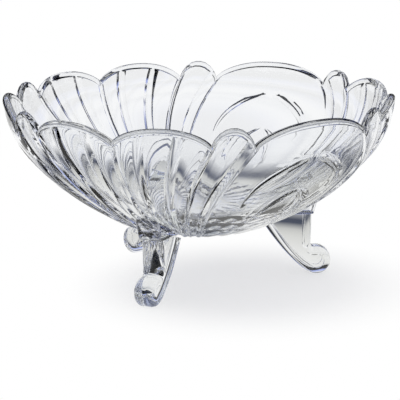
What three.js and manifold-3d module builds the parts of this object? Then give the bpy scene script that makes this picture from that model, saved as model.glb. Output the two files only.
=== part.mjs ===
// Footed crystal bowl: a pressed clear bowl with a scalloped rim, fluted and leaf-cut panels,
// standing on three scroll feet that are bonded to ground pads under its wall.
// Millimetres, +Z up. The origin is on the bowl's axis at table height, and one foot points along -Y.

import * as THREE from "three";
import Module from "manifold-3d";
import { mergeVertices } from "three/addons/utils/BufferGeometryUtils.js";

const wasm = await Module();
wasm.setup();

// Bowl body
const BOWL_HEIGHT = 108.7; // top of the tallest lobe above the table
const RIM_RADIUS = 111; // outside of the wall at the top of the tallest lobe
const RIM_BELLY = 4.6; // the wall's upper curve aims this far outside the rim
const RIM_STRETCH = 40; // from this far below the top
const BASE_RADIUS = 32.6; // level underside
const BASE_HEIGHT = 31.2; // underside above the table
const BASE_RUN = 12.8; // the wall's lower curve aims this far out, level with the base
const BASE_RECESS = 1.2; // hollow of the underside at its middle
const WALL = 4.6; // glass at the rim, which ends in a full round
const FLOOR_THICKNESS = 9; // glass at the base

// Panels: one third of the bowl, as angles from the middle of the large panel
const SECTORS = 3;
const FIRST_PANEL = 90; // direction of the first large panel's middle
const BAND_AT_RIM = 19.4; // curved band between the large and the small panel
const BAND_AT_BASE = 36.5;
const RIB_AT_RIM = 31.4; // rib between the small and the fluted panel
const RIB_AT_BASE = 42.5;
const HALF_SECTOR = 180 / SECTORS; // rib between two fluted panels, straight above a foot
const FLUTE_SHARES = [0.3, 0.4, 0.3]; // widths of a fluted panel's three flutes
const SIDE_SWEEP = 2.5; // how quickly the panel sides bend as they leave the rim
const BAND_HALF = 1.1; // half widths, as angles
const RIB_HALF = 0.75;
const FLUTE_DEPTH = 2.2; // at the rim, less toward the base where the flutes narrow
const BAND_DEPTH = 1;
const PATTERN_FADE_RIM = 0.08; // share of the wall over which the pattern dies out below the rim
const PATTERN_FADE_BASE = 0.16;

// Rim lobes: heights of their tops and of the notches between them
const LARGE_LOBE_DROP = 0; // below BOWL_HEIGHT
const SMALL_LOBE_DROP = 0.6;
const FLUTED_LOBE_DROP = 0.6;
const BAND_NOTCH_DROP = 11;
const RIB_NOTCH_DROP = 11;
const FOOT_NOTCH_DROP = 10;
const LOBE_FULLNESS = 2.3; // exponents of a lobe's arch: higher is squarer, then softer at the notch
const LOBE_SHOULDER = 0.8;
const RIB_NOTCH_PINCH = 2; // the wall draws in this far at the notches over the ribs
const FOOT_NOTCH_PINCH = 2.2;
const PINCH_FADE = 3; // and how quickly that dies out down the wall

// Leaf cuts: three nested pointed arches on each large panel, two mirrored leaves to an arch
const LEAF_DEPTH = 1.4;
const LEAF_HALF_WIDTH = 3;
const LEAF_LIFT = 0.8; // how far the cutter stands off the wall
const LEAF_START = 30; // the arch is an ellipse from this angle to a quarter turn
const LEAF_PARTING = 0.4; // angle between a leaf's point and the middle of the panel
const LEAF_BELLY = 0.8; // below 1 moves a leaf's widest part toward its upper point
const LEAVES = [
  { below: 8.2, drop: 26, span: 21 }, // points below BOWL_HEIGHT, fall of the arch, angle that it spans
  { below: 20.2, drop: 30, span: 19.5 },
  { below: 40.7, drop: 26, span: 11.5 },
];

// Feet and their joints
const FEET = [["front", 270], ["right", 30], ["left", 150]];
const JOINT_LIFT = 5.2; // ground face of the pads above the underside
const JOINT_HEIGHT = BASE_HEIGHT + JOINT_LIFT;
const BOND_THICKNESS = 0.2; // clear adhesive film
const PAD_WIDTH = 14.6;
const PAD_MARGIN = 0.5; // pad past the foot's top, and film inside it
const PAD_FLARE = 4; // the pad's outer face leans out this far to meet the wall
const PAD_SINK = 2.4; // pad's root inside the glass of the wall
const LEG_OUTER = 64.6; // outer edge of the leg at its top
const LEG_WAIST = 63.8; // and just above the toe
const FOOT_THICKNESS = 11;
const FOOT_FLARE = 1.18; // the plate is this much thicker at its top
const FOOT_EDGE = 2.6; // rounding of the plate's edges
const TOE_RADIUS = 8.2;
const TOE_CENTRE = 67.3;
const TOE_FLAT = 0.35; // the toe is ground off this far, for a flat to stand on
const TOE_NOTCH = 2; // hollow where the toe curls up to the leg
const HEEL_RADIUS = 36; // inner edge of the foot where it meets the wall
const TOE_REACH = 8; // the inner edge's curve leaves the toe along the floor with this handle
const LEG_REACH_OUT = 9.5; // and leaves the heel with this one
const LEG_REACH_DOWN = 15;
const SADDLE_GAP = 0.5; // foot's shoulder below the bowl's wall

// Facets
const OUTER_ROWS = 11;
const LIP_ROWS = 4;
const INNER_ROWS = 7;
const FLOOR_RINGS = 2;
const PANEL_STEPS = 6; // columns over half a large panel, a small panel and a flute
const SMALL_STEPS = 5;
const FLUTE_STEPS = 4;
const LEAF_STEPS = 9;
const NUDGE = 0.01; // share of a leaf either way for reading its direction
const SADDLE_STEPS = 5; // where pads and feet follow the wall
const EDGE_STEPS = 2;
const CURVE_STEPS = 8;

const glass = new THREE.MeshStandardMaterial({ color: 0xe6ebf0, roughness: 0.04, metalness: 0 });
const adhesive = new THREE.MeshStandardMaterial({ color: 0xf3f5f4, roughness: 0.12, metalness: 0 });

const { lerp, smoothstep, degToRad } = THREE.MathUtils;

// Outside of the wall, from the edge of the underside to the top of the tallest lobe
const wallCurve = new THREE.CubicBezierCurve(
  new THREE.Vector2(BASE_RADIUS, BASE_HEIGHT),
  new THREE.Vector2(BASE_RADIUS + BASE_RUN, BASE_HEIGHT),
  new THREE.Vector2(RIM_RADIUS + RIM_BELLY, BOWL_HEIGHT - RIM_STRETCH),
  new THREE.Vector2(RIM_RADIUS, BOWL_HEIGHT),
);

// Finds where a rising function reaches a value, between 0 and 1
function solve(rising, value) {
  let low = 0;
  let high = 1;
  for (let step = 0; step < 40; step += 1) {
    const middle = (low + high) / 2;
    if (rising(middle) < value) low = middle;
    else high = middle;
  }
  return (low + high) / 2;
}

// Radius and height of a point on the wall: `along` runs 0 to 1 up the wall, `depth` goes into the glass
function wallSection(along, depth = 0) {
  const point = wallCurve.getPoint(along);
  const tangent = wallCurve.getTangent(along);
  return new THREE.Vector2(point.x - tangent.y * depth, point.y + tangent.x * depth);
}

function onAngle(section, angle) {
  const turn = degToRad(angle);
  return new THREE.Vector3(section.x * Math.cos(turn), section.x * Math.sin(turn), section.y);
}

const glassThickness = (along) => lerp(FLOOR_THICKNESS, WALL, Math.sqrt(along));

// Height of the rim and pinch of the wall at an angle from a large panel's middle
function rimAt(offset) {
  const band = { angle: BAND_AT_RIM, drop: BAND_NOTCH_DROP, pinch: 0 };
  const rib = { angle: RIB_AT_RIM, drop: RIB_NOTCH_DROP, pinch: RIB_NOTCH_PINCH };
  const foot = { angle: HALF_SECTOR, drop: FOOT_NOTCH_DROP, pinch: FOOT_NOTCH_PINCH };
  const lobes = [
    { from: { ...band, angle: -BAND_AT_RIM }, to: band, drop: LARGE_LOBE_DROP },
    { from: band, to: rib, drop: SMALL_LOBE_DROP },
    { from: rib, to: foot, drop: FLUTED_LOBE_DROP },
  ];
  const { from, to, drop } = lobes.find((lobe) => offset <= lobe.to.angle);
  const share = (2 * offset - from.angle - to.angle) / (to.angle - from.angle);
  const arch = (1 - Math.abs(share) ** LOBE_FULLNESS) ** LOBE_SHOULDER;
  const notch = share < 0 ? from : to;
  return { height: BOWL_HEIGHT - lerp(notch.drop, drop, arch), pinch: lerp(notch.pinch, 0, arch) };
}

// Columns of the bowl's grid over half a sector. Each follows a panel side or divides a panel evenly,
// and `hollow` is how deep the pattern is pressed there.
function halfSectorColumns() {
  const columns = [];
  const span = (from, to, steps, depth) => {
    for (let step = 0; step < steps; step += 1) {
      const share = step / steps;
      columns.push({
        rim: lerp(from.rim, to.rim, share),
        base: lerp(from.base, to.base, share),
        hollow: depth * 4 * share * (1 - share),
      });
    }
  };
  const side = (rim, base, shift = 0) => ({ rim: rim + shift, base: base + shift });
  const band = (shift) => side(BAND_AT_RIM, BAND_AT_BASE, shift);
  let ribSide = side(RIB_AT_RIM, RIB_AT_BASE, -RIB_HALF);
  span(side(0, 0), band(-BAND_HALF), PANEL_STEPS, 0);
  span(band(-BAND_HALF), band(BAND_HALF), 2, BAND_DEPTH);
  span(band(BAND_HALF), ribSide, SMALL_STEPS, 0);
  let share = 0;
  for (const width of FLUTE_SHARES) {
    const rib = side(lerp(RIB_AT_RIM, HALF_SECTOR, share), lerp(RIB_AT_BASE, HALF_SECTOR, share), RIB_HALF);
    span(ribSide, rib, share === 0 ? 2 : 1, 0); // the first rib has a notch over its middle
    share += width;
    ribSide = side(lerp(RIB_AT_RIM, HALF_SECTOR, share), lerp(RIB_AT_BASE, HALF_SECTOR, share), -RIB_HALF);
    span(rib, ribSide, FLUTE_STEPS, FLUTE_DEPTH);
  }
  span(ribSide, side(HALF_SECTOR, HALF_SECTOR), 1, 0);
  return columns;
}

// All columns once round: a half sector, its mirror image, and so on
function bowlColumns() {
  const half = halfSectorColumns();
  const middle = { rim: HALF_SECTOR, base: HALF_SECTOR, hollow: 0 };
  const mirrored = half.slice(1).reverse().map((item) => ({ ...item, rim: -item.rim, base: -item.base }));
  const sector = [...mirrored, ...half, middle];
  return Array.from({ length: SECTORS }, (_, index) => {
    const panel = FIRST_PANEL + (index * 360) / SECTORS;
    return sector.map((item) => ({ ...item, panel, ...rimAt(Math.abs(item.rim)) }));
  }).flat();
}

// The section of the bowl in one column: up the outside, over the lip and down the inside to the floor
function columnPoints(column) {
  const end = solve((along) => wallCurve.getPoint(along).y, column.height - WALL / 2);
  const angleAt = (share) => column.panel + lerp(column.base, column.rim, share ** SIDE_SWEEP);
  const section = (share, depth) => wallSection(end * share, depth + column.pinch * share ** PINCH_FADE);
  const points = [];
  for (let ring = 1; ring <= FLOOR_RINGS; ring += 1) {
    const share = ring / (FLOOR_RINGS + 1);
    const lift = BASE_RECESS * (1 - share * share);
    points.push(onAngle(new THREE.Vector2(BASE_RADIUS * share, BASE_HEIGHT + lift), angleAt(0)));
  }
  for (let row = 0; row <= OUTER_ROWS; row += 1) {
    const share = row / OUTER_ROWS;
    const fade = smoothstep(share, 0, PATTERN_FADE_BASE) * smoothstep(1 - share, 0, PATTERN_FADE_RIM);
    const hollow = (column.hollow * fade * section(share, 0).x) / RIM_RADIUS;
    points.push(onAngle(section(share, hollow), angleAt(share)));
  }
  const tangent = wallCurve.getTangent(end);
  for (let row = 1; row < LIP_ROWS; row += 1) {
    const turn = (Math.PI * row) / LIP_ROWS;
    const lip = section(1, (WALL / 2) * (1 - Math.cos(turn)));
    lip.addScaledVector(tangent, (WALL / 2) * Math.sin(turn));
    points.push(onAngle(lip, angleAt(1)));
  }
  for (let row = INNER_ROWS; row >= 0; row -= 1) {
    const share = row / INNER_ROWS;
    points.push(onAngle(section(share, glassThickness(share)), angleAt(share)));
  }
  for (let ring = FLOOR_RINGS; ring >= 1; ring -= 1) {
    const radius = (BASE_RADIUS * ring) / (FLOOR_RINGS + 1);
    points.push(onAngle(new THREE.Vector2(radius, BASE_HEIGHT + FLOOR_THICKNESS), angleAt(0)));
  }
  return points;
}

// A closed grid of columns with one pole under the base and one on the floor
function loftGeometry(columns, firstPole, lastPole) {
  const rows = columns[0].length;
  const position = [...firstPole.toArray(), ...lastPole.toArray()];
  columns.forEach((points) => points.forEach((point) => position.push(...point.toArray())));
  const index = [];
  const at = (column, row) => 2 + (column % columns.length) * rows + row;
  columns.forEach((_, column) => {
    index.push(0, at(column + 1, 0), at(column, 0));
    for (let row = 0; row + 1 < rows; row += 1) {
      index.push(at(column, row), at(column + 1, row), at(column + 1, row + 1));
      index.push(at(column, row), at(column + 1, row + 1), at(column, row + 1));
    }
    index.push(1, at(column, rows - 1), at(column + 1, rows - 1));
  });
  const geometry = new THREE.BufferGeometry();
  geometry.setAttribute("position", new THREE.Float32BufferAttribute(position, 3));
  geometry.setIndex(index);
  return geometry;
}

// Solids for cutting and joining
function toSolid(geometry) {
  const bare = geometry.clone();
  bare.deleteAttribute("normal");
  bare.deleteAttribute("uv");
  const merged = mergeVertices(bare, 1e-4);
  return new wasm.Manifold(new wasm.Mesh({
    numProp: 3,
    vertProperties: Float32Array.from(merged.attributes.position.array),
    triVerts: Uint32Array.from(merged.index.array),
  }));
}

function toGeometry(solid) {
  const mesh = solid.getMesh();
  const geometry = new THREE.BufferGeometry();
  geometry.setAttribute("position", new THREE.Float32BufferAttribute(mesh.vertProperties, 3));
  geometry.setIndex(Array.from(mesh.triVerts));
  geometry.computeVertexNormals();
  return geometry;
}

// A V-shaped cutter that follows one side of a pointed arch and tapers to a point at both ends
function leafCutter(panel, side, leaf) {
  const start = degToRad(LEAF_START);
  const centre = (share) => {
    const turn = lerp(start, Math.PI / 2, share);
    const swing = (Math.sin(turn) - Math.sin(start)) / (1 - Math.sin(start));
    const height = BOWL_HEIGHT - leaf.below - leaf.drop * (1 - Math.cos(turn) / Math.cos(start));
    const along = solve((value) => wallCurve.getPoint(value).y, height);
    const angle = panel + side * (leaf.span * swing + LEAF_PARTING);
    return { angle, along };
  };
  const point = (spot, depth) => onAngle(wallSection(spot.along, depth), spot.angle);
  const sections = [];
  for (let step = 1; step < LEAF_STEPS; step += 1) {
    const share = step / LEAF_STEPS;
    const spot = centre(share);
    const body = Math.sin(Math.PI * share ** LEAF_BELLY);
    const outward = point(spot, -1).sub(point(spot, 0));
    const forward = point(centre(share + NUDGE), 0).sub(point(centre(share - NUDGE), 0)).normalize();
    const across = new THREE.Vector3().crossVectors(outward, forward).multiplyScalar(side).normalize();
    const depth = LEAF_DEPTH * body;
    const reach = (LEAF_HALF_WIDTH * body * (depth + LEAF_LIFT)) / depth;
    const crown = point(spot, -LEAF_LIFT);
    sections.push([
      crown.clone().addScaledVector(across, reach),
      crown.clone().addScaledVector(across, -reach),
      point(spot, depth),
    ]);
  }
  const [first, last] = [0, 1].map((share) => point(centre(share), -LEAF_LIFT));
  const position = [first, ...sections.flat(), last].flatMap((item) => item.toArray());
  const index = [];
  const at = (section, corner) => 1 + section * 3 + (corner % 3);
  for (let corner = 0; corner < 3; corner += 1) {
    index.push(0, at(0, corner + 1), at(0, corner));
    for (let section = 0; section + 1 < sections.length; section += 1) {
      index.push(at(section, corner), at(section, corner + 1), at(section + 1, corner + 1));
      index.push(at(section, corner), at(section + 1, corner + 1), at(section + 1, corner));
    }
    const end = sections.length - 1;
    index.push(at(end, corner), at(end, corner + 1), 1 + sections.length * 3);
  }
  if (side < 0) index.reverse();
  const geometry = new THREE.BufferGeometry();
  geometry.setAttribute("position", new THREE.Float32BufferAttribute(position, 3));
  geometry.setIndex(index);
  return geometry;
}

// Height of the wall's outside over a radius, and where the pads come out of the wall
const wallHeight = (radius) => wallSection(solve((along) => wallSection(along).x, radius)).y;
const padInner = wallSection(solve((along) => wallSection(along).y, JOINT_HEIGHT)).x;

// Stands a flat outline of radius and height upright, centred on the plane of a foot
function uprightPlate(outline, thickness, edge) {
  const geometry = new THREE.ExtrudeGeometry(outline, {
    depth: thickness - 2 * edge,
    bevelEnabled: edge > 0,
    bevelThickness: edge,
    bevelSize: edge,
    bevelOffset: -edge,
    bevelSegments: EDGE_STEPS,
    curveSegments: CURVE_STEPS,
    steps: 1,
  });
  geometry.translate(0, 0, edge - thickness / 2);
  geometry.rotateX(Math.PI / 2);
  return geometry;
}

// The pad that the bowl's wall is moulded with above each foot
function padGeometry() {
  const outer = LEG_OUTER + PAD_MARGIN;
  const outline = new THREE.Shape();
  outline.moveTo(padInner, JOINT_HEIGHT);
  outline.lineTo(outer, JOINT_HEIGHT);
  for (let step = SADDLE_STEPS; step >= 0; step -= 1) {
    const radius = lerp(padInner, outer + PAD_FLARE, step / SADDLE_STEPS);
    outline.lineTo(radius, wallHeight(radius) + PAD_SINK);
  }
  return uprightPlate(outline, PAD_WIDTH, 0);
}

// What the wall and its clearance take from the foot's shoulder
function saddleGeometry(top) {
  const outline = new THREE.Shape();
  outline.moveTo(0, top);
  outline.lineTo(0, BASE_HEIGHT - SADDLE_GAP);
  const end = solve((along) => wallSection(along, -SADDLE_GAP).y, top);
  for (let step = 0; step <= SADDLE_STEPS; step += 1) {
    const point = wallSection((end * step) / SADDLE_STEPS, -SADDLE_GAP);
    outline.lineTo(point.x, point.y);
  }
  return uprightPlate(outline, 2 * FOOT_THICKNESS, 0);
}

// A scroll foot: an upright plate with a rounded edge whose toe curls up, ground flat above and below
function footGeometry() {
  const top = JOINT_HEIGHT - BOND_THICKNESS;
  const spare = top + FOOT_EDGE; // the plate is made this tall, then ground down
  const toeHeight = TOE_RADIUS - TOE_FLAT;
  const notch = new THREE.Vector2(LEG_WAIST + TOE_NOTCH, 0);
  notch.y = toeHeight + Math.sqrt((TOE_RADIUS + TOE_NOTCH) ** 2 - (notch.x - TOE_CENTRE) ** 2);
  const notchTurn = Math.atan2(notch.y - toeHeight, notch.x - TOE_CENTRE);
  const heelHeight = wallHeight(HEEL_RADIUS) - SADDLE_GAP;
  const outline = new THREE.Shape();
  outline.moveTo(HEEL_RADIUS - (LEG_REACH_OUT * (spare - heelHeight)) / LEG_REACH_DOWN, spare);
  outline.lineTo(HEEL_RADIUS, heelHeight);
  outline.bezierCurveTo(
    HEEL_RADIUS + LEG_REACH_OUT, heelHeight - LEG_REACH_DOWN,
    TOE_CENTRE - TOE_REACH, -TOE_FLAT,
    TOE_CENTRE, -TOE_FLAT,
  );
  outline.absarc(TOE_CENTRE, toeHeight, TOE_RADIUS, -Math.PI / 2, notchTurn, false);
  outline.absarc(notch.x, notch.y, TOE_NOTCH, notchTurn - Math.PI, -Math.PI, true);
  outline.lineTo(LEG_OUTER, spare);
  const plate = uprightPlate(outline, FOOT_THICKNESS, FOOT_EDGE);
  const points = plate.attributes.position;
  for (let item = 0; item < points.count; item += 1) {
    const flare = lerp(1, FOOT_FLARE, smoothstep(points.getZ(item), notch.y, top));
    points.setY(item, points.getY(item) * flare);
  }
  const reach = 2 * RIM_RADIUS;
  const slab = new THREE.BoxGeometry(reach, reach, top).translate(0, 0, top / 2);
  const ground = toSolid(plate).intersect(toSolid(slab));
  return toGeometry(ground.subtract(toSolid(saddleGeometry(spare))));
}

// The adhesive film between a pad and a foot, inside both faces
function bondGeometry() {
  const length = LEG_OUTER - padInner - 2 * PAD_MARGIN;
  const film = new THREE.BoxGeometry(length, FOOT_THICKNESS - 2 * PAD_MARGIN, BOND_THICKNESS);
  return film.translate((padInner + LEG_OUTER) / 2, 0, JOINT_HEIGHT - BOND_THICKNESS / 2);
}

function bowlGeometry() {
  const underside = new THREE.Vector3(0, 0, BASE_HEIGHT + BASE_RECESS);
  const floor = new THREE.Vector3(0, 0, BASE_HEIGHT + FLOOR_THICKNESS);
  let bowl = toSolid(loftGeometry(bowlColumns().map(columnPoints), underside, floor));
  for (const [, angle] of FEET) {
    bowl = bowl.add(toSolid(padGeometry().rotateZ(degToRad(angle))));
  }
  for (let sector = 0; sector < SECTORS; sector += 1) {
    const panel = FIRST_PANEL + (sector * 360) / SECTORS;
    for (const leaf of LEAVES) {
      for (const side of [-1, 1]) {
        bowl = bowl.subtract(toSolid(leafCutter(panel, side, leaf)));
      }
    }
  }
  return toGeometry(bowl);
}

function named(name, geometry, material) {
  const mesh = new THREE.Mesh(geometry, material);
  mesh.name = name;
  return mesh;
}

const footedBowl = new THREE.Group();
footedBowl.add(named("bowl", bowlGeometry(), glass));
for (const [place, angle] of FEET) {
  const leg = new THREE.Group();
  leg.rotation.z = degToRad(angle);
  leg.add(named(`foot_${place}`, footGeometry(), glass));
  leg.add(named(`bond_${place}`, bondGeometry(), adhesive));
  footedBowl.add(leg);
}

export default footedBowl;
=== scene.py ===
"""A scalloped, fluted and leaf-cut crystal bowl, bonded to three scroll feet, in a white studio."""

import math

import bpy
import numpy as np
from bpy.props import FloatProperty, FloatVectorProperty, IntProperty, PointerProperty
from mathutils import Matrix, Vector


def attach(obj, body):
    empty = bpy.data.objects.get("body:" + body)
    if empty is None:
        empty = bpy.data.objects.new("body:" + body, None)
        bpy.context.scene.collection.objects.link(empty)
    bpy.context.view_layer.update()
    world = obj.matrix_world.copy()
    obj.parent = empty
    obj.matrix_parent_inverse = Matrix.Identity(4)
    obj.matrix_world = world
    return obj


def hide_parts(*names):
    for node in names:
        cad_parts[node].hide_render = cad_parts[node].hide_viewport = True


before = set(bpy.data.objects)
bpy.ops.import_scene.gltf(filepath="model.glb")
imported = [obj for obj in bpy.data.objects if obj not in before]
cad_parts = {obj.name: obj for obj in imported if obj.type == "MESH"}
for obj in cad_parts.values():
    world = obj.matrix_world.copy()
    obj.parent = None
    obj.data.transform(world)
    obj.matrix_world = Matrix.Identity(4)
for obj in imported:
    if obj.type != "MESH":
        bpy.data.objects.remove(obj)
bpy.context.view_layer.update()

bl_info = {
    "name": "Footed Crystal Bowl",
    "version": (1, 0, 0),
    "blender": (4, 5, 0),
    "location": "View3D > Sidebar > Footed Bowl",
    "description": "Models a scalloped crystal bowl on scroll feet and the white studio around it",
    "category": "Mesh",
}

BODY = "root"
MM = 0.001
TINY = 1e-6  # keeps comparisons and divisions safe
MERGE_DISTANCE = 0.002 * MM
WHITE = (1, 1, 1, 1)
CRYSTAL = "fire_polished_crystal"

FEET = {"front": 270, "right": 30, "left": 150}  # directions that the feet point in, in degrees
SECTORS = 3
FIRST_PANEL = 90  # direction of the first large panel's middle, in degrees
HALF_SECTOR = 180 / SECTORS  # degrees from a large panel's middle to the rib above a foot
FLUTES = (0.3, 0.4, 0.3)  # widths of the flutes between two notches, as shares

# Arches of leaves on a large panel, from the inside: how far the apex lies below the rim and above the
# arch's foot, in mm, and the spread of one side, in degrees
LEAVES = ((40.7, 26, 11.5), (20.2, 30, 19.5))
LEAF_SPANS = 3 * len(LEAVES) + 1  # between a panel's middle, three lines for each leaf and its edge
ARCH_START = 38  # degrees of a quarter turn that an arch leaves out at its apex, which makes it pointed
ARCH_PARTING = 0.3  # degrees between a panel's middle and each side of an arch at its apex
LEAF_TAPER = 0.6  # below 1, a leaf is fullest nearer its upper end
# A leaf's section from its edge to its spine: a steep lip, a gentle slope and a groove
LEAF_SHARES = (0, 0.25, 0.75, 1)
LEAF_DEPTHS = (0, 0.42, 0.62, 1)
EVEN_AGAIN = (0.84, 0.97)  # shares of the wall over which columns that follow the leaves even out
LEAST_GAP = 0.12  # narrowest gap between those columns, as a share of the even one

DIMPLE_POWER = 1.3  # above 1, a dimple runs out softly at its edge
DIMPLE_INWARD = 0.4  # share of the base's radius that the dimples reach inward
PLATE_SPARE = 3  # what a foot's plate first has above its ground top, in roundings of its edge
FILM_ROUND = 0.3  # rounding of a film's edges, as a share of its thickness

# Degrees above which an edge is shaded sharp, for the bowl's relief and for plain corners
RELIEF_ANGLE = 18
CORNER_ANGLE = 30

# What the crystal alone sees: shades round the studio by the sine of the height above level, and rings of
# painted light and shade on the paper by metres from the bowl's axis
FLAGS = (
    (0, "#0C0E12"), (0.2, "#0C0E12"), (0.24, "#A8B5EA"), (0.31, "#A8B5EA"),
    (0.36, "#FFFFFF"), (0.4, "#1C2232"), (0.46, "#1C2232"), (0.5, "#A8B5EA"),
    (0.55, "#FFFFFF"), (0.66, "#FFFFFF"), (0.7, "#5E6890"), (0.75, "#F4F6FF"),
    (0.8, "#F4F6FF"), (0.86, "#A6B1DC"), (0.93, "#4A5478"), (1, "#4A5478"),
)
# Painted light and shade on the paper, for the crystal's rays only: a painted shadow under the base,
# painted rings of caustic light and shadow round it, and a painted dark edge far out for a dark studio
PAINTED_RINGS = (
    (0, "#9BA0A8"), (0.012, "#9BA0A8"), (0.038, "#F4F4F2"), (0.068, "#F2F2F0"),
    (0.114, "#DADAD6"), (0.128, "#C4C4C2"), (0.139, "#4C5262"), (0.148, "#444A5A"),
    (0.195, "#FFFFFF"), (1, "#FFFFFF"), (1.15, "#0C0E12"),
)
PAINTED_RING_REACH = 2  # metres that the ramp of rings spans

PATH_BOUNCES = 32
MIRROR_BOUNCES = 8
CAMERA_RANGE = 100  # metres that the camera sees

# Rows of the bowl's section and columns round it
UNDERSIDE_RINGS = 16
OUTER_ROWS = 74
BORDER_ROWS = 12
LIP_ROWS = 12
INNER_ROWS = 28
FLOOR_RINGS = 5
PANEL_STEPS = 4
BAND_STEPS = 6
SMALL_STEPS = 6
RIB_STEPS = 8
FLUTE_STEPS = 8

# Steps along curves and round edges
LEAF_STEPS = 60
CURVE_STEPS = 48
EDGE_STEPS = 10
FILM_STEPS = 3
SADDLE_STEPS = 180
WALL_SAMPLES = 2001


def linear(hex_colour):
    """An sRGB hex colour as linear red, green and blue."""
    parts = [int(hex_colour[place:place + 2], 16) / 255 for place in (1, 3, 5)]
    return [part / 12.92 if part <= 0.04045 else ((part + 0.055) / 1.055) ** 2.4 for part in parts]


# Settings

def length(name, millimetres, description):
    """A size property, given in millimetres and kept in metres."""
    return FloatProperty(name=name, description=description, default=millimetres * MM, unit="LENGTH")


def turn(name, degrees, description):
    """An angle property, given in degrees and kept in radians."""
    radians = math.radians(degrees)
    return FloatProperty(name=name, description=description, default=radians, unit="ROTATION")


def number(name, value, description):
    """A plain number property."""
    return FloatProperty(name=name, description=description, default=value)


def colour(name, hex_colour, description):
    """A colour property, given as sRGB hex."""
    parts = linear(hex_colour)
    return FloatVectorProperty(name=name, description=description, default=parts, subtype="COLOR")


class BowlShape(bpy.types.PropertyGroup):
    """Sizes of the bowl's wall and base, and of the relief on them"""
    height: length("Height", 108.7, "Top of the tallest lobe above the table")
    rim_radius: length("Rim radius", 110.94, "Outside of the wall at the top of the tallest lobe")
    rim_belly: length("Rim belly", 4.6, "How far outside the rim the wall's upper curve aims")
    rim_stretch: length("Rim stretch", 40, "How far below the top of the rim it aims")
    base_radius: length("Base radius", 32.6, "Edge of the level underside")
    base_height: length("Base height", 31.2, "Underside above the table")
    base_run: length("Base run", 12.8, "How far out the wall's lower curve aims, level with the base")
    base_recess: length("Base recess", 1.2, "Hollow of the underside at its middle")
    dimples: IntProperty(name="Dimples", description="Dimples round the edge of the base", default=24)
    dimple_depth: length("Dimple depth", 2, "Depth of the dimples at the edge of the base")
    wall: length("Wall", 4.6, "Glass at the rim, which ends in a full round")
    floor: length("Floor", 9, "Glass at the base")
    flute_crown: length("Flute crown", 0.45, "How far a flute rises from its sides to its middle")
    flute_depth: length("Flute depth", 1.3, "How much deeper the flutes are than the panels")
    panel_depth: length("Panel depth", 0.8, "Hollow of the panels near the rim")
    flank: length("Flank", 0.8, "Width of the sloping sides of the panels near the rim")
    band_round: length("Band round", 0.7, "Crown of the bands beside the large panels")
    leaf_depth: length("Leaf depth", 0.9, "Depth of the leaf cuts along their spine")
    leaf_half: length("Leaf half width", 3.2, "Half the width of a leaf cut")


class PanelLayout(bpy.types.PropertyGroup):
    """Where the panels lie round the wall, and the lobes and notches of the rim"""
    band_at_rim: number("Band at rim", 19.4, "Degrees from a large panel's middle to its band at the rim")
    band_at_base: number("Band at base", 36.5, "The same at the base")
    rib_at_rim: number("Rib at rim", 31.4, "Degrees to the rib between the small and the fluted panel")
    rib_at_base: number("Rib at base", 42.5, "The same at the base")
    band_half: number("Band half width", 1.5, "Half the band's width in degrees")
    rib_half: number("Rib half width", 1.7, "Half the width of a rib between flutes, in degrees")
    notch_half: number("Notch rib half width", 0.8, "Half the width of a rib below a notch, in degrees")
    side_sweep: number("Side sweep", 2.5, "How quickly the panel sides bend as they leave the rim")
    border: number("Border", 0.006, "Share of the wall that the plain border takes below the rim")
    fade_rim: number("Panel start", 0.006, "Share of the wall in which the panels sink below the border")
    flute_rim: number("Flute start", 0.008, "Share of the wall in which the flutes sink below the border")
    fade_base: number("Fade at base", 0.1, "Share of the wall over which both die out above the base")
    dimple_reach: number("Dimple reach", 0.17, "Share of the wall that the dimples run up")
    small_lobe_drop: length("Small lobe drop", 0.6, "Small lobes below the large ones")
    fluted_lobe_drop: length("Fluted lobe drop", 0.6, "Fluted lobes below the large ones")
    band_notch_drop: length("Band notch drop", 11, "Notches over the bands below the large lobes")
    rib_notch_drop: length("Rib notch drop", 11, "Notches over the ribs")
    foot_notch_drop: length("Foot notch drop", 10, "Notches over the feet")
    lobe_fullness: number("Lobe fullness", 2.3, "Higher makes a lobe's arch squarer")
    lobe_shoulder: number("Lobe shoulder", 0.8, "Lower makes a lobe's arch meet its notch more steeply")
    rib_pinch: length("Rib pinch", 2, "How far the wall draws in at the notches over the ribs")
    foot_pinch: length("Foot pinch", 2.2, "How far it draws in at the notches over the feet")
    pinch_fade: number("Pinch fade", 3, "How quickly that dies out down the wall")


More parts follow.
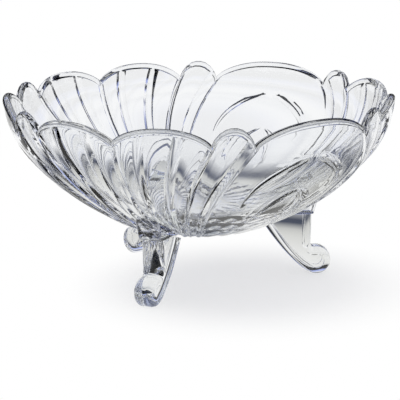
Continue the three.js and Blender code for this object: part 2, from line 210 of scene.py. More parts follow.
class FootShape(bpy.types.PropertyGroup):
    """Sizes of a foot, its pad and the film between them"""
    joint_height: length("Joint height", 36.4, "Ground face of the pads under the wall")
    bond: length("Bond", 0.2, "Room for the adhesive film")
    film_wetting: length("Film wetting", 0.02, "How far the film wets into the faces that it bonds")
    pad_width: length("Pad width", 14.6, "Pad across the foot")
    pad_margin: length("Pad margin", 0.5, "Pad past the foot's top, and film inside it")
    pad_flare: length("Pad flare", 4, "Lean of the pad's outer face where it meets the wall")
    pad_sink: length("Pad sink", 2.4, "Pad's root inside the glass of the wall")
    pad_round: length("Pad rounding", 1.6, "Rounding of the pad's outer upright edges")
    leg_outer: length("Leg outer edge", 64.6, "Outer edge of the leg at its top")
    leg_waist: length("Leg waist", 63.8, "Outer edge of the leg above the toe")
    thickness: length("Thickness", 13, "Thickness of the plate")
    edge: length("Edge", 4, "Rounding of the plate's edges")
    panel_sink: length("Panel sink", 0.25, "Depth of the shallow panel on each side of the plate")
    panel_slope: length("Panel slope", 0.4, "Width of that panel's sloping border")
    toe_radius: length("Toe radius", 8.2, "Round of the toe")
    toe_centre: length("Toe centre", 67.3, "Middle of the toe from the bowl's axis")
    toe_flat: length("Toe flat", 0.35, "How much is ground off under the toe")
    toe_notch: length("Toe notch", 2, "Hollow where the toe curls up to the leg")
    heel_radius: length("Heel radius", 36, "Inner edge of the foot where it meets the wall")
    toe_reach: length("Toe reach", 8, "Handle of the inner edge along the floor")
    leg_reach_out: length("Leg reach out", 9.5, "Handle of the inner edge at the heel, outward")
    leg_reach_down: length("Leg reach down", 15, "Handle of the inner edge at the heel, downward")
    saddle_gap: length("Saddle gap", 0.5, "Foot's shoulder below the bowl's wall")


class Finish(bpy.types.PropertyGroup):
    """Looks of the crystal and the adhesive"""
    crystal: colour("Crystal", "#F6F7F8", "Tint of the crystal")
    crystal_ior: number("Crystal IOR", 1.54, "Refraction of the crystal")
    adhesive: colour("Adhesive", "#F4F6F4", "Tint of the adhesive film")
    adhesive_ior: number("Adhesive IOR", 1.49, "Refraction of the adhesive film")
    adhesive_roughness: number("Adhesive roughness", 0.05, "Softness of what shows through the film")
    wave: length("Wave", 14, "Length of the fire polish's waves")
    wave_height: length("Wave height", 0.02, "Height of the fire polish's waves")
    wave_detail: number("Wave detail", 2, "Layers of finer waves on the long ones")


class StudioLook(bpy.types.PropertyGroup):
    """The paper floor and the camera"""
    floor: colour("Floor", "#FBFAF7", "Colour of the paper")
    floor_size: length("Floor size", 12000, "Width of the floor")
    floor_drop: length("Floor drop", 0.1, "Floor below the feet, so that it never shares their faces")
    shadow_spot: FloatVectorProperty(
        name="Shadow spot", description="Middle of the shadow on the floor",
        default=(36 * MM, -7 * MM, 0), unit="LENGTH")
    floor_near: length("Floor near", 40, "Distance from its middle at which the shadow starts to fade")
    floor_far: length("Floor far", 112, "Distance from its middle at which it has faded into white")
    floor_lift: number("Floor lift", 0.6, "Share of plain white in the middle of the shadow")
    camera_turn: turn("Camera turn", 25.2, "Turn of the camera round the bowl")
    camera_tilt: turn("Camera tilt", 13.41, "Height of the camera above level")
    camera_roll: turn("Camera roll", 0.594, "Turn of the camera about its own axis")
    camera_distance: length("Camera distance", 1090, "From the camera to the point that it looks at")
    camera_aim: length("Camera aim", 44.8, "Height of the point that it looks at")
    camera_lens: number("Camera lens", 170.4, "Focal length in millimetres")


# Modelling helpers

def fresh_start():
    """Leaves edit mode and deselects everything."""
    if bpy.context.object and bpy.context.object.mode != "OBJECT":
        bpy.ops.object.mode_set(mode="OBJECT")
    bpy.ops.object.select_all(action="DESELECT")


def select_only(piece):
    """Selects one piece and makes it the active one."""
    fresh_start()
    piece.select_set(True)
    bpy.context.view_layer.objects.active = piece


def in_edit_mode(piece, *steps):
    """Runs operators on the whole of a piece in edit mode. A step is an operator and its settings."""
    select_only(piece)
    bpy.ops.object.mode_set(mode="EDIT")
    for operator, settings in steps:
        bpy.ops.mesh.select_all(action="SELECT")
        operator(**settings)
    bpy.ops.object.mode_set(mode="OBJECT")


def select_edges(piece, wanted):
    """Goes into edit mode with only those edges selected whose two points pass a test."""
    select_only(piece)
    bpy.ops.object.mode_set(mode="EDIT")
    bpy.ops.mesh.select_mode(type="EDGE")
    bpy.ops.mesh.select_all(action="DESELECT")
    bpy.ops.object.mode_set(mode="OBJECT")
    for edge in piece.data.edges:
        edge.select = bool(wanted(*edge.vertices))
    bpy.ops.object.mode_set(mode="EDIT")


def set_points(mesh, points):
    """Moves a mesh's points to new places."""
    mesh.vertices.foreach_set("co", np.asarray(points, np.float32).ravel())
    mesh.update()


def get_points(mesh):
    """The places of a mesh's points."""
    points = np.zeros(len(mesh.vertices) * 3, np.float32)
    mesh.vertices.foreach_get("co", points)
    return points.reshape(-1, 3).astype(float)


def clean(piece):
    """Merges doubles and turns all faces outward."""
    in_edit_mode(
        piece,
        (bpy.ops.mesh.remove_doubles, {"threshold": MERGE_DISTANCE}),
        (bpy.ops.mesh.normals_make_consistent, {"inside": False}),
    )


def spun(name, section, steps):
    """Spins a section of radius and height points, which starts and ends on the axis, once round.

    The mesh keeps each point's place in the section as its row."""
    fresh_start()
    bpy.ops.mesh.primitive_circle_add(vertices=len(section), fill_type="NOTHING")
    piece = bpy.context.object
    piece.name = name
    rows = piece.data.attributes.new("row", "INT", "POINT")
    rows.data.foreach_set("value", np.arange(len(section), dtype=np.int32))
    section = np.asarray(section)
    set_points(piece.data, np.stack((section[:, 0], 0 * section[:, 0], section[:, 1]), -1))
    select_edges(piece, lambda start, end: {start, end} == {0, len(section) - 1})
    bpy.ops.mesh.delete(type="EDGE")
    bpy.ops.mesh.select_mode(type="VERT")
    bpy.ops.object.mode_set(mode="OBJECT")
    bpy.ops.object.modifier_add(type="SCREW")
    turning = piece.modifiers[-1]
    turning.axis = "Z"
    turning.angle = 2 * math.pi
    turning.steps = turning.render_steps = steps
    turning.use_merge_vertices = True
    turning.merge_threshold = MERGE_DISTANCE
    bpy.ops.object.modifier_apply(modifier=turning.name)
    clean(piece)
    return piece


def cut_or_join(piece, tool, operation):
    """Cuts a tool out of a piece, or joins it on, and deletes the tool."""
    select_only(piece)
    bpy.ops.object.modifier_add(type="BOOLEAN")
    modifier = piece.modifiers[-1]
    modifier.operation = operation
    modifier.solver = "MANIFOLD"
    modifier.object = tool
    bpy.ops.object.modifier_apply(modifier=modifier.name)
    bpy.data.objects.remove(tool)


def finished(piece, node, material, sharp):
    """Shades a piece, gives it its material and puts it in the place of its CAD node."""
    select_only(piece)
    bpy.ops.object.shade_smooth_by_angle(angle=math.radians(sharp))
    piece.data.materials.clear()
    piece.data.materials.append(material)
    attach(piece, BODY)
    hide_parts(node)
    return piece


# Curves and the bowl's wall

def bezier(start, leave, arrive, end, along):
    """Points at shares along a cubic curve."""
    along = np.asarray(along, float)[..., None]
    left = 1 - along
    return left**3 * start + 3 * left**2 * along * leave + 3 * left * along**2 * arrive + along**3 * end


def wall_section(shape, along, depth=0.0):
    """Radius and height on the wall, and its direction upward.

    `along` runs from 0 at the base to 1 at the rim, and `depth` goes into the glass."""
    start = np.array((shape.base_radius, shape.base_height))
    leave = start + (shape.base_run, 0)
    end = np.array((shape.rim_radius, shape.height))
    arrive = end + (shape.rim_belly, -shape.rim_stretch)
    point = bezier(start, leave, arrive, end, along)
    along = np.asarray(along, float)[..., None]
    left = 1 - along
    upward = left**2 * (leave - start) + 2 * left * along * (arrive - leave) + along**2 * (end - arrive)
    upward = upward / np.linalg.norm(upward, axis=-1, keepdims=True)
    inward = np.stack((-upward[..., 1], upward[..., 0]), -1)
    return point + inward * np.asarray(depth, float)[..., None], upward


def along_at(shape, value, axis, depth=0.0):
    """Where the wall reaches a radius (axis 0) or a height (axis 1)."""
    steps = np.linspace(0, 1, WALL_SAMPLES)
    return np.interp(value, wall_section(shape, steps, depth)[0][:, axis], steps)


def on_angle(section, degrees):
    """Points of radius and height, turned to a direction."""
    angle = np.radians(degrees)
    radius, height = section[..., 0], section[..., 1]
    return np.stack((radius * np.cos(angle), radius * np.sin(angle), height + 0 * angle), -1)


def smooth(value, low, high):
    """Rises softly from 0 at the low value to 1 at the high one."""
    share = np.clip((value - low) / (high - low), 0, 1)
    return share * share * (3 - 2 * share)


def rim_at(shape, panel, offset):
    """Height of the rim and pinch of the wall, at degrees from a large panel's middle."""
    band = (panel.band_at_rim, panel.band_notch_drop, 0)
    rib = (panel.rib_at_rim, panel.rib_notch_drop, panel.rib_pinch)
    foot = (HALF_SECTOR, panel.foot_notch_drop, panel.foot_pinch)
    lobes = (
        ((-band[0], *band[1:]), band, 0),
        (band, rib, panel.small_lobe_drop),
        (rib, foot, panel.fluted_lobe_drop),
    )
    start, end, drop = next(lobe for lobe in lobes if offset <= lobe[1][0] + TINY)
    share = min(1, max(-1, (2 * offset - start[0] - end[0]) / (end[0] - start[0])))
    arch = (1 - abs(share) ** panel.lobe_fullness) ** panel.lobe_shoulder
    notch = start if share < 0 else end
    return shape.height - (notch[1] + (drop - notch[1]) * arch), notch[2] * (1 - arch)


def half_sector(shape, panel):
    """Columns from a large panel's middle to the rib above a foot.

    A column is its angles at rim and base, the depth of its panel, the further depth of its flute, and
    its place, which runs from 0 to 1 across half of the large panel and is 0 elsewhere."""
    columns = []
    flank = np.degrees(shape.flank / shape.rim_radius)

    def large(side):
        """Half of the large panel and its sloping side."""
        edge = 1 - flank / side[0]
        for place in np.linspace(0, edge, PANEL_STEPS * LEAF_SPANS + 1):
            columns.append((*(side * place), shape.panel_depth, 0, place))
        columns.append((*(side * (1 + edge) / 2), shape.panel_depth / 2, 0, (1 + edge) / 2))

    def band(start, end):
        """The crowned band beside the large panel."""
        for across in np.linspace(-1, 1, BAND_STEPS + 1):
            side = start + (end - start) * (across + 1) / 2
            columns.append((*side, -shape.band_round * (1 - across * across), 0, 0))

    def small(start, end):
        """The small panel and its sloping side."""
        slope = flank / (end - start)[0]
        columns.append((*(start + (end - start) * slope / 2), shape.panel_depth / 2, 0, 0))
        for share in np.linspace(slope, 1, SMALL_STEPS, endpoint=False):
            columns.append((*(start + (end - start) * share), shape.panel_depth, 0, 0))

    def rib(middle, half, last=1):
        """A round rib, or its first half where the last is 0."""
        for across in np.linspace(-1, last, RIB_STEPS if last else RIB_STEPS // 2, endpoint=False):
            side = middle + half * across
            sunk = across * across
            columns.append((*side, shape.panel_depth * sunk, shape.flute_depth * sunk, 0))

    def flute(start, end):
        """A crowned flute between two ribs."""
        for share in np.linspace(0, 1, FLUTE_STEPS, endpoint=False):
            depth = shape.flute_depth - shape.flute_crown * 4 * share * (1 - share)
            columns.append((*(start + (end - start) * share), shape.panel_depth, depth, 0))

    edge = np.array((panel.band_at_rim, panel.band_at_base))
    start = np.array((panel.rib_at_rim, panel.rib_at_base))
    large(edge - panel.band_half)
    band(edge - panel.band_half, edge + panel.band_half)
    small(edge + panel.band_half, start - panel.notch_half)
    share, half = 0, panel.notch_half
    for index, width in enumerate(FLUTES, 1):
        middle = start + (HALF_SECTOR - start) * share
        share += width
        after = start + (HALF_SECTOR - start) * share
        next_half = panel.rib_half if index < len(FLUTES) else panel.notch_half
        rib(middle, half)
        flute(middle + half, after - next_half)
        half = next_half
    rib(np.array((HALF_SECTOR, HALF_SECTOR)), half, 0)
    return columns


def bowl_columns(shape, panel):
    """All columns once round, as arrays.

    They are the middle of the large panel, what half_sector gives, the rim's height and the pinch."""
    half = half_sector(shape, panel)
    mirrored = [
        (-rim, -base, hollow, flute, -place)
        for rim, base, hollow, flute, place in reversed(half[1:])
    ]
    sector = [(-HALF_SECTOR, -HALF_SECTOR, 0, 0, 0), *mirrored, *half]
    rows = []
    for index in range(SECTORS):
        middle = FIRST_PANEL + index * 360 / SECTORS
        for rim, *others in sector:
            rows.append((middle, rim, *others, *rim_at(shape, panel, abs(rim))))
    return np.array(rows).T[:, :, None]


def leaf_lines(shape, below, drop, spread):
    """One side of a pointed arch, which is one leaf.

    Returns the leaf's inner edge, spine and outer edge, each as places along the wall and degrees, and
    how full the leaf is along its spine."""
    share = np.linspace(0, 1, LEAF_STEPS + 1)
    start = math.radians(ARCH_START)
    swing = start + (math.pi / 2 - start) * share
    level = shape.height - below - drop * (1 - np.cos(swing) / math.cos(start))
    degrees = spread * (np.sin(swing) - math.sin(start)) / (1 - math.sin(start)) + ARCH_PARTING
    along = along_at(shape, level, 1)
    section = wall_section(shape, along)[0]
    fall = np.gradient(section, axis=0)
    across = np.gradient(np.radians(degrees)) * section[:, 0]
    down = np.hypot(fall[:, 0], fall[:, 1])
    pace = np.hypot(across, down)
    full = np.sin(np.pi * share**LEAF_TAPER)
    reach = shape.leaf_half * full
    aside = np.degrees(reach * down / pace / section[:, 0])
    upward = -reach * across / pace * np.gradient(along) / down
    return [(along + side * upward, degrees + side * aside) for side in (-1, 0, 1)], full


def leaf_cuts(shape, along, end, width, place):
    """Moves the columns of the large panels onto the leaves' edges and spines.

    Returns the new place across half a panel and the depth of the cuts, by column and row."""
    edge = 1 - np.degrees(shape.flank / shape.rim_radius) / width[:, -1:].min()
    gap = LEAST_GAP * edge / LEAF_SPANS
    stations, lines, cuts = [0], [0 * along], []
    leaves = [leaf_lines(shape, below * MM, drop * MM, spread) for below, drop, spread in LEAVES]
    apex = max(line_along.max() for leaf, _ in leaves for line_along, _ in leaf)
    above = np.clip((along - apex) / np.maximum(end - apex, TINY), 0, 1)
    above = np.maximum(above, smooth(along / end, *EVEN_AGAIN))

    # Columns follow a leaf's three lines where it lies, and go back to even spacing elsewhere
    for leaf, full in leaves:
        exact = []
        for line_along, degrees in leaf:
            station = edge * len(stations) / LEAF_SPANS
            order = np.argsort(line_along)
            line = np.interp(along, line_along[order], degrees[order]) / width
            exact.append(line)
            rest = above + np.clip(1 - along / line_along.min(), 0, 1)
            line = line + (station - line) * rest
            line = np.maximum(line, lines[-1] + gap)
            stations.append(station)
            lines.append(line)
        spine_along = leaf[1][0]
        body = np.interp(along, spine_along[::-1], full[::-1], left=0, right=0)
        cuts.append((exact, shape.leaf_depth * body))
    stations.append(edge)
    lines.append(0 * along + edge)
    for index in reversed(range(1, LEAF_SPANS)):
        lines[index] = np.minimum(lines[index], lines[index + 1] - gap)

    # The columns between two lines are spread evenly
    moved = np.abs(place) + 0 * along
    for left, right, low, high in zip(stations, stations[1:], lines, lines[1:]):
        inside = (np.abs(place) >= left) & (np.abs(place) < right) & (place != 0)
        share = (np.abs(place) - left) / (right - left)
        moved = np.where(inside, low + (high - low) * share, moved)

    depth = 0 * along
    for (inner, spine, outer), full in cuts:
        rising = (moved - inner) / np.maximum(spine - inner, TINY)
        falling = (outer - moved) / np.maximum(outer - spine, TINY)
        inward = np.clip(np.minimum(rising, falling), 0, 1)
        depth = np.maximum(depth, full * np.interp(inward, LEAF_SHARES, LEAF_DEPTHS))
    return moved, np.where(place == 0, 0, depth)


def bowl_grid(shape, panel):
    """Every point of the bowl's grid, by column and row: underside, outside, lip, inside and floor."""
    middle, rim, base, hollow, flute, place, height, pinch = bowl_columns(shape, panel)
    end = along_at(shape, height - shape.wall / 2, 1)

    def aside(share):
        """Degrees from the large panel's middle at a share of the wall."""
        return base + (rim - base) * share**panel.side_sweep

    def section(share, depth):
        """The wall at a share of its run, drawn in below the notches."""
        return wall_section(shape, end * share, depth + pinch * share**panel.pinch_fade)

    def disc(rings, level, lift):
        """Rings from the axis to the edge of the base, lifted in the middle."""
        share = np.arange(rings)[None, :] / rings
        radius = shape.base_radius * share + 0 * end
        points = np.stack((radius, level + lift * (1 - share * share) + 0 * end), -1)
        return on_angle(points, middle + aside(0 * share))

    # Outside, with panels, flutes, leaf cuts and dimples
    start_border = 1 - panel.border - panel.fade_rim
    outer = np.linspace(0, start_border, OUTER_ROWS, endpoint=False)
    outer = np.concatenate((outer, np.linspace(start_border, 1, BORDER_ROWS)))[None, :]
    low = smooth(outer, 0, panel.fade_base) * section(outer, 0 * end)[0][..., 0] / shape.rim_radius
    panels = smooth(1 - outer, panel.border, panel.border + panel.fade_rim)
    flutes = smooth(1 - outer, panel.border, panel.border + panel.flute_rim)
    depth = low * (hollow * panels + flute * flutes)

    band = np.array((panel.band_at_rim, panel.band_at_base)) - panel.band_half
    width = band[1] + (band[0] - band[1]) * outer**panel.side_sweep + 0 * end
    moved, cut = leaf_cuts(shape, end * outer, end, width, place)
    offset = np.where(place == 0, aside(outer), np.sign(place) * moved * width)
    beside = np.mod((middle + base) * shape.dimples / 360, 1) * 2 - 1

    def dimple(away):
        """Depth of the dimples, by the way from the edge of the base as a share of their reach."""
        return shape.dimple_depth * np.maximum(1 - beside**2 - away**2, 0) ** DIMPLE_POWER

    depth = depth + cut + dimple(outer / panel.dimple_reach)
    outside = on_angle(section(outer, depth)[0], middle + offset)

    # Lip, half a turn from the outside to the inside
    lip = np.pi * np.arange(1, LIP_ROWS)[None, :] / LIP_ROWS
    round_depth = shape.wall / 2 * (1 - np.cos(lip)) + 0 * end
    edge, upward = section(np.ones_like(lip), round_depth)
    edge = edge + upward * (shape.wall / 2 * np.sin(lip))[..., None]
    over = on_angle(edge, middle + aside(np.ones_like(lip)))

    # Inside, which is plain
    inner = np.linspace(1, 0, INNER_ROWS + 1)[None, :]
    thickness = shape.floor + (shape.wall - shape.floor) * np.sqrt(inner) + 0 * end
    inside = on_angle(section(inner, thickness)[0], middle + aside(inner))

    # Underside and floor
    under = disc(UNDERSIDE_RINGS, shape.base_height, shape.base_recess)
    ring = np.arange(UNDERSIDE_RINGS)[None, :] / UNDERSIDE_RINGS
    under[..., 2] += dimple((1 - ring) / DIMPLE_INWARD)
    floor = disc(FLOOR_RINGS, shape.base_height + shape.floor, 0)[:, ::-1]
    return np.concatenate((under, outside, over, inside, floor), axis=1)


def pad_inner(shape, foot):
    """Radius at which the pads come out of the wall."""
    return wall_section(shape, along_at(shape, foot.joint_height, 1))[0][0]


def wall_height(shape, radius):
    """Height of the wall's outside at a radius."""
    return wall_section(shape, along_at(shape, radius, 0))[0][1]


def pad(shape, foot, degrees):
    """The pad moulded under the wall above a foot: a block with rounded outer edges."""
    inner = pad_inner(shape, foot)
    outer = foot.leg_outer + foot.pad_margin
    lean = outer + foot.pad_flare
    fresh_start()
    bpy.ops.mesh.primitive_cube_add(size=1)
    piece = bpy.context.object
    corners = get_points(piece.data)
    is_outer, is_top = corners[:, 0] > 0, corners[:, 2] > 0
    radius = np.where(is_outer, np.where(is_top, lean, outer), inner)
    level = np.array([wall_height(shape, value) for value in radius]) + foot.pad_sink
    height = np.where(is_top, level, foot.joint_height)
    set_points(piece.data, np.stack((radius, corners[:, 1] * foot.pad_width, height), -1))

    def is_upright(start, end):
        return is_outer[start] and is_outer[end] and is_top[start] != is_top[end]

    select_edges(piece, is_upright)
    bpy.ops.mesh.bevel(offset=foot.pad_round, segments=EDGE_STEPS, profile=0.5)
    bpy.ops.mesh.select_mode(type="VERT")
    bpy.ops.object.mode_set(mode="OBJECT")
    piece.data.transform(Matrix.Rotation(math.radians(degrees), 4, "Z"))
    return piece


# The feet

def arc(centre, radius, start, end, steps):
    """Points along an arc, between angles in radians."""
    angle = np.linspace(start, end, steps)
    return np.stack((centre[0] + radius * np.cos(angle), centre[1] + radius * np.sin(angle)), -1)


def foot_outline(shape, foot):
    """Radius and height round a foot's plate."""
    spare = foot.joint_height - foot.bond + PLATE_SPARE * foot.edge
    toe = np.array((foot.toe_centre, foot.toe_radius - foot.toe_flat))
    notch = np.array((foot.leg_waist + foot.toe_notch, 0))
    rise = (foot.toe_radius + foot.toe_notch) ** 2 - (notch[0] - toe[0]) ** 2
    notch[1] = toe[1] + math.sqrt(rise)
    swing = math.atan2(notch[1] - toe[1], notch[0] - toe[0])
    heel = np.array((foot.heel_radius, wall_height(shape, foot.heel_radius) - foot.saddle_gap))
    reach = np.array((foot.leg_reach_out, -foot.leg_reach_down))
    under = np.array((foot.toe_centre, -foot.toe_flat))
    top = heel + reach * (spare - heel[1]) / reach[1]
    steps = np.linspace(0, 1, CURVE_STEPS)
    return np.concatenate((
        [top],
        bezier(heel, heel + reach, under - (foot.toe_reach, 0), under, steps)[:-1],
        arc(toe, foot.toe_radius, -math.pi / 2, swing, 2 * CURVE_STEPS)[:-1],
        arc(notch, foot.toe_notch, swing - math.pi, -math.pi, CURVE_STEPS // 2)[:-1],
        np.linspace((foot.leg_waist, notch[1]), (foot.leg_outer, spare), CURVE_STEPS // 2),
    ))


def foot_plate(shape, foot):
    """A plate on the outline, with rounded edges and a shallow panel sunk into each side.

    It is modelled in millimetres, because edges this small come out more exactly than in metres."""
    outline = foot_outline(shape, foot) / MM
    thickness = foot.thickness / MM
    fresh_start()
    bpy.ops.mesh.primitive_circle_add(vertices=len(outline), fill_type="NGON")
    piece = bpy.context.object
    side = np.full(len(outline), -thickness / 2)
    set_points(piece.data, np.stack((outline[:, 0], side, outline[:, 1]), -1))
    in_edit_mode(
        piece,
        (bpy.ops.mesh.extrude_region_move, {"TRANSFORM_OT_translate": {"value": (0, thickness, 0)}}),
        (bpy.ops.mesh.normals_make_consistent, {"inside": False}),
    )
    across = get_points(piece.data)[:, 1]
    select_edges(piece, lambda start, end: across[start] * across[end] > 0)
    bpy.ops.mesh.bevel(offset=foot.edge / MM, segments=EDGE_STEPS, profile=0.5, clamp_overlap=False)

    # The two flat sides are the only faces with more than four corners
    bpy.ops.mesh.select_mode(type="FACE")
    bpy.ops.mesh.select_all(action="DESELECT")
    bpy.ops.object.mode_set(mode="OBJECT")
    for face in piece.data.polygons:
        face.select = len(face.vertices) > 4
    bpy.ops.object.mode_set(mode="EDIT")
    bpy.ops.mesh.inset(thickness=foot.panel_slope / MM, depth=-foot.panel_sink / MM)
    bpy.ops.mesh.select_mode(type="VERT")
    ground_flat(piece, 0, -1)
    ground_flat(piece, (foot.joint_height - foot.bond) / MM, 1)
    set_points(piece.data, get_points(piece.data) * MM)
    return piece


def ground_flat(piece, height, direction):
    """Grinds a piece flat at a height, and closes it there."""
    in_edit_mode(piece, (bpy.ops.mesh.bisect, {
        "plane_co": (0, 0, height),
        "plane_no": (0, 0, direction),
        "use_fill": True,
        "clear_outer": True,
    }))


def saddle(shape, foot):
    """What the wall and its clearance take from the foot's shoulder."""
    end = along_at(shape, foot.joint_height + foot.edge, 1, -foot.saddle_gap)
    below = np.full(CURVE_STEPS, -foot.saddle_gap)
    curve = wall_section(shape, np.linspace(0, end, CURVE_STEPS), below)[0]
    section = [(0, shape.base_height - foot.saddle_gap), *curve, (0, curve[-1][1])]
    tool = spun("saddle", section, SADDLE_STEPS)
    tool.data.attributes.remove(tool.data.attributes["row"])
    return tool


# Finishes

def add_node(tree, kind, settings=None, links=None):
    """Adds a node, sets its properties or inputs, and links its inputs."""
    node = tree.nodes.new(kind)
    for name, value in (settings or {}).items():
        if isinstance(name, int) or name in node.inputs:
            node.inputs[name].default_value = value
        else:
            setattr(node, name, value)
    for name, socket in (links or {}).items():
        tree.links.new(socket, node.inputs[name])
    return node


def new_material(name):
    """An empty material and its node tree."""
    material = bpy.data.materials.new(name)
    material.use_nodes = True
    material.node_tree.nodes.clear()
    return material, material.node_tree


def crystal(finish):
    """Pressed and fire-polished clear crystal: bright, with no colour but a faint cool tint.

    Fire polish leaves long shallow waves, which bend what shows through a little."""
    material, tree = new_material(CRYSTAL)
    place = add_node(tree, "ShaderNodeTexCoord")
    waves = add_node(tree, "ShaderNodeTexNoise", {
        "Scale": 1 / finish.wave,
        "Detail": finish.wave_detail,
    }, {"Vector": place.outputs["Object"]})
    bump = add_node(tree, "ShaderNodeBump", {"Strength": 1, "Distance": finish.wave_height},
                    {"Height": waves.outputs["Fac"]})
    glass = add_node(tree, "ShaderNodeBsdfPrincipled", {
        "Base Color": (*finish.crystal, 1),
        "Roughness": 0,
        "IOR": finish.crystal_ior,
        "Transmission Weight": 1,
    }, {"Normal": bump.outputs["Normal"]})
    add_node(tree, "ShaderNodeOutputMaterial", links={"Surface": glass.outputs["BSDF"]})
    return material


def adhesive(finish):
    """Clear ultraviolet-cured acrylic adhesive in a thin film, a little softer than the crystal."""
    material, tree = new_material("cured_acrylic_adhesive")
    film = add_node(tree, "ShaderNodeBsdfPrincipled", {
        "Base Color": (*finish.adhesive, 1),
        "Roughness": finish.adhesive_roughness,
        "IOR": finish.adhesive_ior,
        "Transmission Weight": 1,
    })
    add_node(tree, "ShaderNodeOutputMaterial", links={"Surface": film.outputs["BSDF"]})
    return material


# The studio

def set_stops(node, stops):
    """Gives a colour ramp its stops of position and sRGB hex colour."""
    ramp = node.color_ramp
    while len(ramp.elements) < len(stops):
        ramp.elements.new(1)
    for element, (position, hex_colour) in zip(ramp.elements, stops):
        element.position = position
        element.color = (*linear(hex_colour), 1)


def paper(look):
    """Matt white studio paper, plain white away from the bowl and with a soft shadow near it.

    The crystal alone, by its glossy and transmission rays, sees light and shade painted on the paper:
    a painted shadow under the base, painted rings of caustic light and shadow round it, and a painted
    dark far edge, which give the glass its dark lines."""
    material, tree = new_material("matt_white_paper_painted_rings")
    place = add_node(tree, "ShaderNodeTexCoord")
    distance = add_node(tree, "ShaderNodeVectorMath", {"operation": "LENGTH"},
                        {"Vector": place.outputs["Object"]})
    # The darkness is the paper's real shade, but its place round the shadow spot, off the axis, is
    # painted: plain white emission lifts the shade away everywhere else
    away = add_node(tree, "ShaderNodeVectorMath", {"operation": "DISTANCE", 1: look.shadow_spot},
                    {0: place.outputs["Object"]})
    fade = add_node(tree, "ShaderNodeMapRange", {
        "interpolation_type": "SMOOTHSTEP",
        "From Min": look.floor_near,
        "From Max": look.floor_far,
        "To Min": look.floor_lift,
        "To Max": 1,
    }, {"Value": away.outputs["Value"]})
    sheet = add_node(tree, "ShaderNodeBsdfDiffuse", {"Color": (*look.floor, 1)})
    white = add_node(tree, "ShaderNodeEmission", {"Color": WHITE, "Strength": 1})
    seen = add_node(tree, "ShaderNodeMixShader", links={
        0: fade.outputs["Result"], 1: sheet.outputs["BSDF"], 2: white.outputs["Emission"]})
    # Painted light and shade, as glowing colour that only the crystal's rays see: a painted shadow under
    # the base, painted rings of caustic light and shadow, and a painted dark far edge
    share = add_node(tree, "ShaderNodeMath", {"operation": "DIVIDE", 1: PAINTED_RING_REACH},
                     {0: distance.outputs["Value"]})
    shade = add_node(tree, "ShaderNodeValToRGB", links={"Fac": share.outputs["Value"]})
    set_stops(shade, [(metres / PAINTED_RING_REACH, hex_colour) for metres, hex_colour in PAINTED_RINGS])
    rings = add_node(tree, "ShaderNodeEmission", {"Strength": 1}, {"Color": shade.outputs["Color"]})
    path = add_node(tree, "ShaderNodeLightPath")
    crystal_ray = add_node(tree, "ShaderNodeMath", {"operation": "MAXIMUM"}, {
        0: path.outputs["Is Transmission Ray"], 1: path.outputs["Is Glossy Ray"]})
    blend = add_node(tree, "ShaderNodeMixShader", links={
        0: crystal_ray.outputs["Value"], 1: seen.outputs["Shader"], 2: rings.outputs["Emission"]})
    add_node(tree, "ShaderNodeOutputMaterial", links={"Surface": blend.outputs["Shader"]})
    return material


def studio_world():
    """A white studio. The camera and the paper get plain white, and the crystal alone shows the flags."""
    world = bpy.data.worlds.new("white_studio")
    world.use_nodes = True
    tree = world.node_tree
    tree.nodes.clear()
    place = add_node(tree, "ShaderNodeTexCoord")
    split = add_node(tree, "ShaderNodeSeparateXYZ", links={"Vector": place.outputs["Generated"]})
    bands = add_node(tree, "ShaderNodeValToRGB", links={"Fac": split.outputs["Z"]})
    set_stops(bands, FLAGS)
    studio = add_node(tree, "ShaderNodeBackground", {"Strength": 1}, {"Color": bands.outputs["Color"]})
    white = add_node(tree, "ShaderNodeBackground", {"Color": WHITE, "Strength": 1})
    path = add_node(tree, "ShaderNodeLightPath")
    plain = add_node(tree, "ShaderNodeMath", {"operation": "MAXIMUM"}, {
        0: path.outputs["Is Camera Ray"], 1: path.outputs["Is Diffuse Ray"]})
    pick = add_node(tree, "ShaderNodeMixShader", links={
        0: plain.outputs["Value"], 1: studio.outputs["Background"], 2: white.outputs["Background"]})
    add_node(tree, "ShaderNodeOutputWorld", links={"Surface": pick.outputs["Shader"]})
    return world


# Operators and the panel

class FOOTEDBOWL_OT_bowl(bpy.types.Operator):
    """Spins, presses and cuts the crystal bowl with its pads"""
    bl_idname = "footed_bowl.bowl"
    bl_label = "Crystal Bowl"

    def execute(self, context):
        shape, foot = context.scene.bowl_shape, context.scene.bowl_feet
        grid = bowl_grid(shape, context.scene.bowl_panels)
        columns = len(grid)
        radius = np.hypot(grid[0, :, 0], grid[0, :, 1])
        piece = spun("crystal_bowl", np.stack((radius, grid[0, :, 2]), -1), columns)
        # Each point of the spun body moves to the grid's place for its column and row
        mesh = piece.data
        row = np.zeros(len(mesh.vertices), np.int32)
        mesh.attributes["row"].data.foreach_get("value", row)
        points = get_points(mesh)
        turns = np.arctan2(points[:, 1], points[:, 0]) / (2 * math.pi)
        column = np.rint(turns * columns).astype(int) % columns
        set_points(mesh, grid[column, row])
        mesh.attributes.remove(mesh.attributes["row"])
        clean(piece)
        for degrees in FEET.values():
            cut_or_join(piece, pad(shape, foot, degrees), "UNION")
        clean(piece)
        finished(piece, "bowl", crystal(context.scene.bowl_finish), RELIEF_ANGLE)
        return {"FINISHED"}


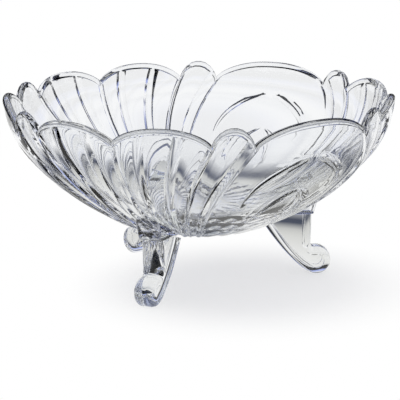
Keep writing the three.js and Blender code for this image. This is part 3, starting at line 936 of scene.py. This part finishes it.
class FOOTEDBOWL_OT_feet(bpy.types.Operator):
    """Models one scroll foot and copies it to the other places"""
    bl_idname = "footed_bowl.feet"
    bl_label = "Scroll Feet"

    def execute(self, context):
        shape, foot = context.scene.bowl_shape, context.scene.bowl_feet
        first = foot_plate(shape, foot)
        cut_or_join(first, saddle(shape, foot), "DIFFERENCE")
        clean(first)
        material = bpy.data.materials.get(CRYSTAL) or crystal(context.scene.bowl_finish)
        pieces = [first]
        for _ in range(len(FEET) - 1):
            select_only(first)
            bpy.ops.object.duplicate()
            pieces.append(context.object)
        for piece, (place, degrees) in zip(pieces, FEET.items()):
            piece.data.transform(Matrix.Rotation(math.radians(degrees), 4, "Z"))
            piece.name = f"scroll_foot_{place}"
            finished(piece, f"foot_{place}", material, CORNER_ANGLE)
        return {"FINISHED"}


class FOOTEDBOWL_OT_bonds(bpy.types.Operator):
    """Lays the clear adhesive films between the pads and the feet"""
    bl_idname = "footed_bowl.bonds"
    bl_label = "Adhesive Films"

    def execute(self, context):
        shape, foot = context.scene.bowl_shape, context.scene.bowl_feet
        material = adhesive(context.scene.bowl_finish)
        inner = pad_inner(shape, foot) + foot.pad_margin
        outer = foot.leg_outer - foot.pad_margin
        thick = foot.bond + 2 * foot.film_wetting
        size = Vector((outer - inner, foot.thickness - 2 * foot.pad_margin, thick))
        middle = Vector(((inner + outer) / 2, 0, foot.joint_height - foot.bond / 2))
        rounding = {"offset": FILM_ROUND * thick, "segments": FILM_STEPS}
        for place, degrees in FEET.items():
            fresh_start()
            bpy.ops.mesh.primitive_cube_add(size=1)
            piece = context.object
            piece.name = f"adhesive_film_{place}"
            piece.data.transform(Matrix.LocRotScale(middle, None, size))
            in_edit_mode(piece, (bpy.ops.mesh.bevel, rounding))
            piece.data.transform(Matrix.Rotation(math.radians(degrees), 4, "Z"))
            finished(piece, f"bond_{place}", material, CORNER_ANGLE)
        return {"FINISHED"}


class FOOTEDBOWL_OT_stage(bpy.types.Operator):
    """Sets up the floor, the studio light and the camera"""
    bl_idname = "footed_bowl.stage"
    bl_label = "Studio"

    def execute(self, context):
        look = context.scene.bowl_studio
        fresh_start()
        bpy.ops.mesh.primitive_plane_add(size=look.floor_size, location=(0, 0, -look.floor_drop))
        floor = context.object
        floor.name = "studio_floor"
        floor.data.materials.append(paper(look))
        context.scene.world = studio_world()
        context.scene.view_settings.view_transform = "Standard"
        # Light goes to and fro in cut crystal many times before it comes out
        paths = context.scene.cycles
        paths.max_bounces = paths.transmission_bounces = PATH_BOUNCES
        paths.glossy_bounces = MIRROR_BOUNCES
        self.add_camera(context, look)
        return {"FINISHED"}

    def add_camera(self, context, look):
        """A camera at the photograph's view, a little turned about its own axis."""
        tilt, swing = look.camera_tilt, look.camera_turn
        level = Vector((-math.sin(swing), math.cos(swing), 0))
        away = level * math.cos(tilt) - Vector((0, 0, math.sin(tilt)))
        aside = Vector((math.cos(swing), math.sin(swing), 0))
        upward = aside.cross(away)
        cosine, sine = math.cos(look.camera_roll), math.sin(look.camera_roll)
        right = cosine * aside - sine * upward
        top = sine * aside + cosine * upward
        turned = Matrix((right, top, -away)).transposed()
        spot = Vector((0, 0, look.camera_aim)) - away * look.camera_distance
        bpy.ops.object.camera_add()
        camera = context.object
        camera.name = "studio_camera"
        camera.matrix_world = Matrix.Translation(spot) @ turned.to_4x4()
        camera.data.lens = look.camera_lens
        camera.data.clip_end = CAMERA_RANGE
        context.scene.camera = camera


class FOOTEDBOWL_PT_panel(bpy.types.Panel):
    """Lists the bowl's pieces and its sizes"""
    bl_label = "Footed Bowl"
    bl_idname = "FOOTEDBOWL_PT_panel"
    bl_space_type = "VIEW_3D"
    bl_region_type = "UI"
    bl_category = "Footed Bowl"

    def draw(self, context):
        for operator in OPERATORS:
            self.layout.operator(operator.bl_idname)
        for name in SETTINGS:
            group = getattr(context.scene, name)
            box = self.layout.box()
            for key in group.bl_rna.properties.keys():
                if key not in ("rna_type", "name"):
                    box.prop(group, key)


OPERATORS = (FOOTEDBOWL_OT_bowl, FOOTEDBOWL_OT_feet, FOOTEDBOWL_OT_bonds, FOOTEDBOWL_OT_stage)
SETTINGS = {
    "bowl_shape": BowlShape,
    "bowl_panels": PanelLayout,
    "bowl_feet": FootShape,
    "bowl_finish": Finish,
    "bowl_studio": StudioLook,
}


def register():
    for item in (*SETTINGS.values(), *OPERATORS, FOOTEDBOWL_PT_panel):
        bpy.utils.register_class(item)
    for name, group in SETTINGS.items():
        setattr(bpy.types.Scene, name, PointerProperty(type=group))


def unregister():
    for name in SETTINGS:
        delattr(bpy.types.Scene, name)
    for item in (FOOTEDBOWL_PT_panel, *reversed(OPERATORS), *reversed(SETTINGS.values())):
        bpy.utils.unregister_class(item)


def main():
    register()
    bpy.ops.footed_bowl.bowl()
    bpy.ops.footed_bowl.feet()
    bpy.ops.footed_bowl.bonds()
    bpy.ops.footed_bowl.stage()


if __name__ == "__main__":
    main()
